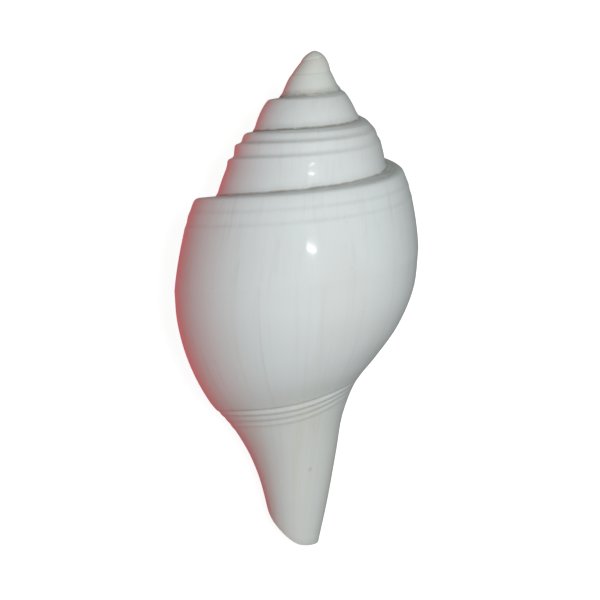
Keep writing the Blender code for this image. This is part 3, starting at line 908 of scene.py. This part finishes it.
class ConchFinish(bpy.types.PropertyGroup):
    """Colours and polish of the shell."""

    body: bpy.props.FloatVectorProperty(
        name="Body", description="Polished cool white",
        default=(0.79, 0.835, 0.84), subtype="COLOR", min=0, max=1)
    cloud: bpy.props.FloatVectorProperty(
        name="Clouds", description="Slightly warmer patches",
        default=(0.76, 0.785, 0.77), subtype="COLOR", min=0, max=1)
    streak: bpy.props.FloatVectorProperty(
        name="Streaks", description="Growth streaks",
        default=(0.67, 0.675, 0.645), subtype="COLOR", min=0, max=1)
    yellow: bpy.props.FloatVectorProperty(
        name="Yellow", description="Streaks on the base and canal",
        default=(0.66, 0.62, 0.47), subtype="COLOR", min=0, max=1)
    tip: bpy.props.FloatVectorProperty(
        name="Tip", description="Worn beige of the oldest whorls",
        default=(0.74, 0.74, 0.675), subtype="COLOR", min=0, max=1)
    mouth: bpy.props.FloatVectorProperty(
        name="Mouth", description="Warm inside of the mouth",
        default=(0.84, 0.72, 0.60), subtype="COLOR", min=0, max=1)
    # Colour of the dirt and of the painted shade in the sutures, on the ramps, in the creases and in the
    # grooves
    dirt_and_shade: bpy.props.FloatVectorProperty(
        name="Dirt", description="Olive brown in the sutures",
        default=(0.20, 0.17, 0.115), subtype="COLOR", min=0, max=1)
    dirt_and_shade_amount: bpy.props.FloatProperty(
        name="Dirt amount", description="How much the dirt covers",
        default=0.75, subtype="FACTOR", min=0, max=1)
    roughness: bpy.props.FloatProperty(
        name="Roughness", description="Roughness under the polish",
        default=0.38, subtype="FACTOR", min=0, max=1)


class ConchStudio(bpy.types.PropertyGroup):
    """Floor, light and camera."""

    floor_size: bpy.props.FloatProperty(
        name="Floor size", description="Side of the square floor",
        default=6.0, subtype="DISTANCE", unit="LENGTH")
    floor_colour: bpy.props.FloatVectorProperty(
        name="Floor", description="Pale floor",
        default=(0.5, 0.5, 0.5), subtype="COLOR", min=0, max=1)
    floor_glow: bpy.props.FloatProperty(
        name="Floor glow", description="Light of the floor itself, as from a lit table",
        default=0.86, min=0)
    key_power: bpy.props.FloatProperty(
        name="Key light", description="Large soft light beside the camera",
        default=2.26, unit="POWER")
    spark_power: bpy.props.FloatProperty(
        name="Spark light", description="Small light near the camera, for the highlights",
        default=0.25, unit="POWER")
    backdrop: bpy.props.FloatVectorProperty(
        name="Backdrop", description="What stands behind the floor",
        default=(0.97, 0.97, 0.97), subtype="COLOR", min=0)
    sky: bpy.props.FloatVectorProperty(
        name="Surroundings", description="Soft light from all round",
        default=(0.20, 0.215, 0.21), subtype="COLOR", min=0)
    warm: bpy.props.FloatVectorProperty(
        name="Warm side", description="Surroundings that the polish mirrors at the shell's left edge",
        default=(1.0, 0.06, 0.075), subtype="COLOR", min=0)


class ConchPlace:
    """How the shell lies, kept from the shell's operator for the stage."""

    laid = Matrix.Identity(4)


class MESH_OT_conch_shell(bpy.types.Operator):
    """Builds the shell's fine surface over its solid"""

    bl_idname = "mesh.conch_shell"
    bl_label = "Conch shell"

    def execute(self, context):
        surface = fine_surface(context.scene.conch_shape.steps_per_turn)
        ConchPlace.laid = laid_matrix(surface.points)
        turned = np.array(surface.points) @ np.array(ConchPlace.laid.to_3x3()).T
        turned += np.array(ConchPlace.laid.translation)
        # The shell rests on small worn flats, as its solid does
        turned[:, 2] = np.maximum(turned[:, 2], 0.0)
        mesh = bpy.data.meshes.new("shell_surface")
        mesh.from_pydata(turned.tolist(), [], surface.faces)
        growth = mesh.attributes.new("growth", "FLOAT_VECTOR", "CORNER")
        growth.data.foreach_set("vector", np.concatenate(surface.marks).astype(np.float32))
        mesh.validate()
        mesh.materials.append(shell_material())
        mesh.shade_smooth()
        mesh.set_sharp_from_angle(angle=SHARP_EDGE)
        shell = bpy.data.objects.new("shell_surface", mesh)
        context.scene.collection.objects.link(shell)
        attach(shell, "root")
        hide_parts(NODE)
        return {"FINISHED"}


def camera_axes():
    """Right, up and back of the photograph's camera, in the upright shell's directions."""
    back = Vector((0.0, math.sin(PHOTO_PITCH), math.cos(PHOTO_PITCH)))
    level_up = Vector((0.0, math.cos(PHOTO_PITCH), -math.sin(PHOTO_PITCH)))
    level_right = Vector((1.0, 0.0, 0.0))
    up = level_up * math.cos(PHOTO_TILT) - level_right * math.sin(PHOTO_TILT)
    right = level_right * math.cos(PHOTO_TILT) + level_up * math.sin(PHOTO_TILT)
    return right, up, back


def camera_place():
    """Place of the photograph's camera in mm, with the shell's tip at the origin."""
    right, up, back = camera_axes()
    depth = PHOTO_DISTANCE - SHELL_MIDDLE * math.sin(PHOTO_PITCH)
    across = (PHOTO_TIP[0] - PHOTO_SIDE / 2) * depth / PHOTO_FOCAL
    above = (PHOTO_SIDE / 2 - PHOTO_TIP[1]) * depth / PHOTO_FOCAL
    return back * depth - right * across - up * above


def seen_from_camera(right_mm, up_mm, towards_mm):
    """World place of a point given from the shell's middle, in the camera's own directions."""
    right, up, back = camera_axes()
    middle = Vector((0.0, -SHELL_MIDDLE, 0.0))
    return ConchPlace.laid @ (middle + right * right_mm + up * up_mm + back * towards_mm)


def add_light(context, name, power, size, place):
    """A round or oval area light that looks at the shell's middle; size is its width and length."""
    data = bpy.data.lights.new(name, "AREA")
    data.shape = "ELLIPSE"
    data.size, data.size_y = size
    data.energy = power
    light = bpy.data.objects.new(name, data)
    light.location = place
    light.rotation_euler = (place - seen_from_camera(0, 0, 0)).to_track_quat("Z", "Y").to_euler()
    context.scene.collection.objects.link(light)
    return light


class SCENE_OT_conch_stage(bpy.types.Operator):
    """Adds the pale floor, the lights and the photograph's camera"""

    bl_idname = "scene.conch_stage"
    bl_label = "Stage"

    def execute(self, context):
        settings = context.scene.conch_studio
        self.add_floor(context, settings)
        key = add_light(context, "key_light", settings.key_power, KEY_SIZE, seen_from_camera(*KEY_PLACE))
        key.visible_glossy = False
        add_light(context, "spark_light", settings.spark_power, SPARK_SIZE, seen_from_camera(*SPARK_PLACE))
        self.add_surroundings(context, settings)
        self.add_camera(context)
        context.scene.view_settings.view_transform = "Standard"
        return {"FINISHED"}

    def add_floor(self, context, settings):
        half = settings.floor_size / 2
        corners = [(-half, -half, 0.0), (half, -half, 0.0), (half, half, 0.0), (-half, half, 0.0)]
        mesh = bpy.data.meshes.new("floor")
        mesh.from_pydata(corners, [], [(0, 1, 2, 3)])
        mesh.materials.append(floor_material())
        floor = bpy.data.objects.new("floor", mesh)
        floor.visible_diffuse = False
        floor.visible_glossy = False
        context.scene.collection.objects.link(floor)

    def add_surroundings(self, context, settings):
        world = bpy.data.worlds.new("surroundings")
        tree = ShaderTree(world)
        direction = tree.node("ShaderNodeTexCoord", {}, {}, "Generated")
        sides = {0: direction, 1: WARM_SIDE}
        facing = tree.node("ShaderNodeVectorMath", {"operation": "DOT_PRODUCT"}, sides, "Value")
        seen = tree.node("ShaderNodeLightPath", {}, {}, "Is Camera Ray")
        scattered = tree.node("ShaderNodeLightPath", {}, {}, "Is Diffuse Ray")
        warm = facing.rise(*WARM_RISE)
        mirrored = tree.mix(warm, colour(settings.sky), colour(settings.warm))
        lit = tree.mix(scattered * (1.0 - WARM_SCATTERED * warm), mirrored, colour(settings.sky))
        tint = tree.mix(seen, lit, colour(settings.backdrop))
        background = tree.node("ShaderNodeBackground", {}, {"Color": tint, "Strength": 1.0})
        tree.node("ShaderNodeOutputWorld", {}, {"Surface": background})
        context.scene.world = world

    def add_camera(self, context):
        data = bpy.data.cameras.new("photo_camera")
        data.sensor_width = SENSOR
        data.lens = SENSOR * PHOTO_FOCAL / PHOTO_SIDE
        data.clip_start = 0.01
        camera = bpy.data.objects.new("photo_camera", data)
        axes = [(ConchPlace.laid.to_3x3() @ axis).normalized() for axis in camera_axes()]
        place = Matrix.Translation(ConchPlace.laid @ camera_place())
        camera.matrix_world = place @ Matrix(axes).transposed().to_4x4()
        context.scene.collection.objects.link(camera)
        context.scene.camera = camera


class VIEW3D_PT_conch(bpy.types.Panel):
    """Lists the operators and settings"""

    bl_label = "Conch shell"
    bl_idname = "VIEW3D_PT_conch"
    bl_space_type = "VIEW_3D"
    bl_region_type = "UI"
    bl_category = "Conch"

    def draw(self, context):
        for settings in (context.scene.conch_shape, context.scene.conch_finish, context.scene.conch_studio):
            box = self.layout.box()
            for name in settings.__annotations__:
                box.prop(settings, name)
        self.layout.operator(MESH_OT_conch_shell.bl_idname)
        self.layout.operator(SCENE_OT_conch_stage.bl_idname)


CLASSES = (ConchShape, ConchFinish, ConchStudio, MESH_OT_conch_shell, SCENE_OT_conch_stage, VIEW3D_PT_conch)


def register():
    for each in CLASSES:
        bpy.utils.register_class(each)
    bpy.types.Scene.conch_shape = bpy.props.PointerProperty(type=ConchShape)
    bpy.types.Scene.conch_finish = bpy.props.PointerProperty(type=ConchFinish)
    bpy.types.Scene.conch_studio = bpy.props.PointerProperty(type=ConchStudio)


def unregister():
    del bpy.types.Scene.conch_studio
    del bpy.types.Scene.conch_finish
    del bpy.types.Scene.conch_shape
    for each in reversed(CLASSES):
        bpy.utils.unregister_class(each)


def main():
    register()
    bpy.ops.mesh.conch_shell()
    bpy.ops.scene.conch_stage()


if __name__ == "__main__":
    main()
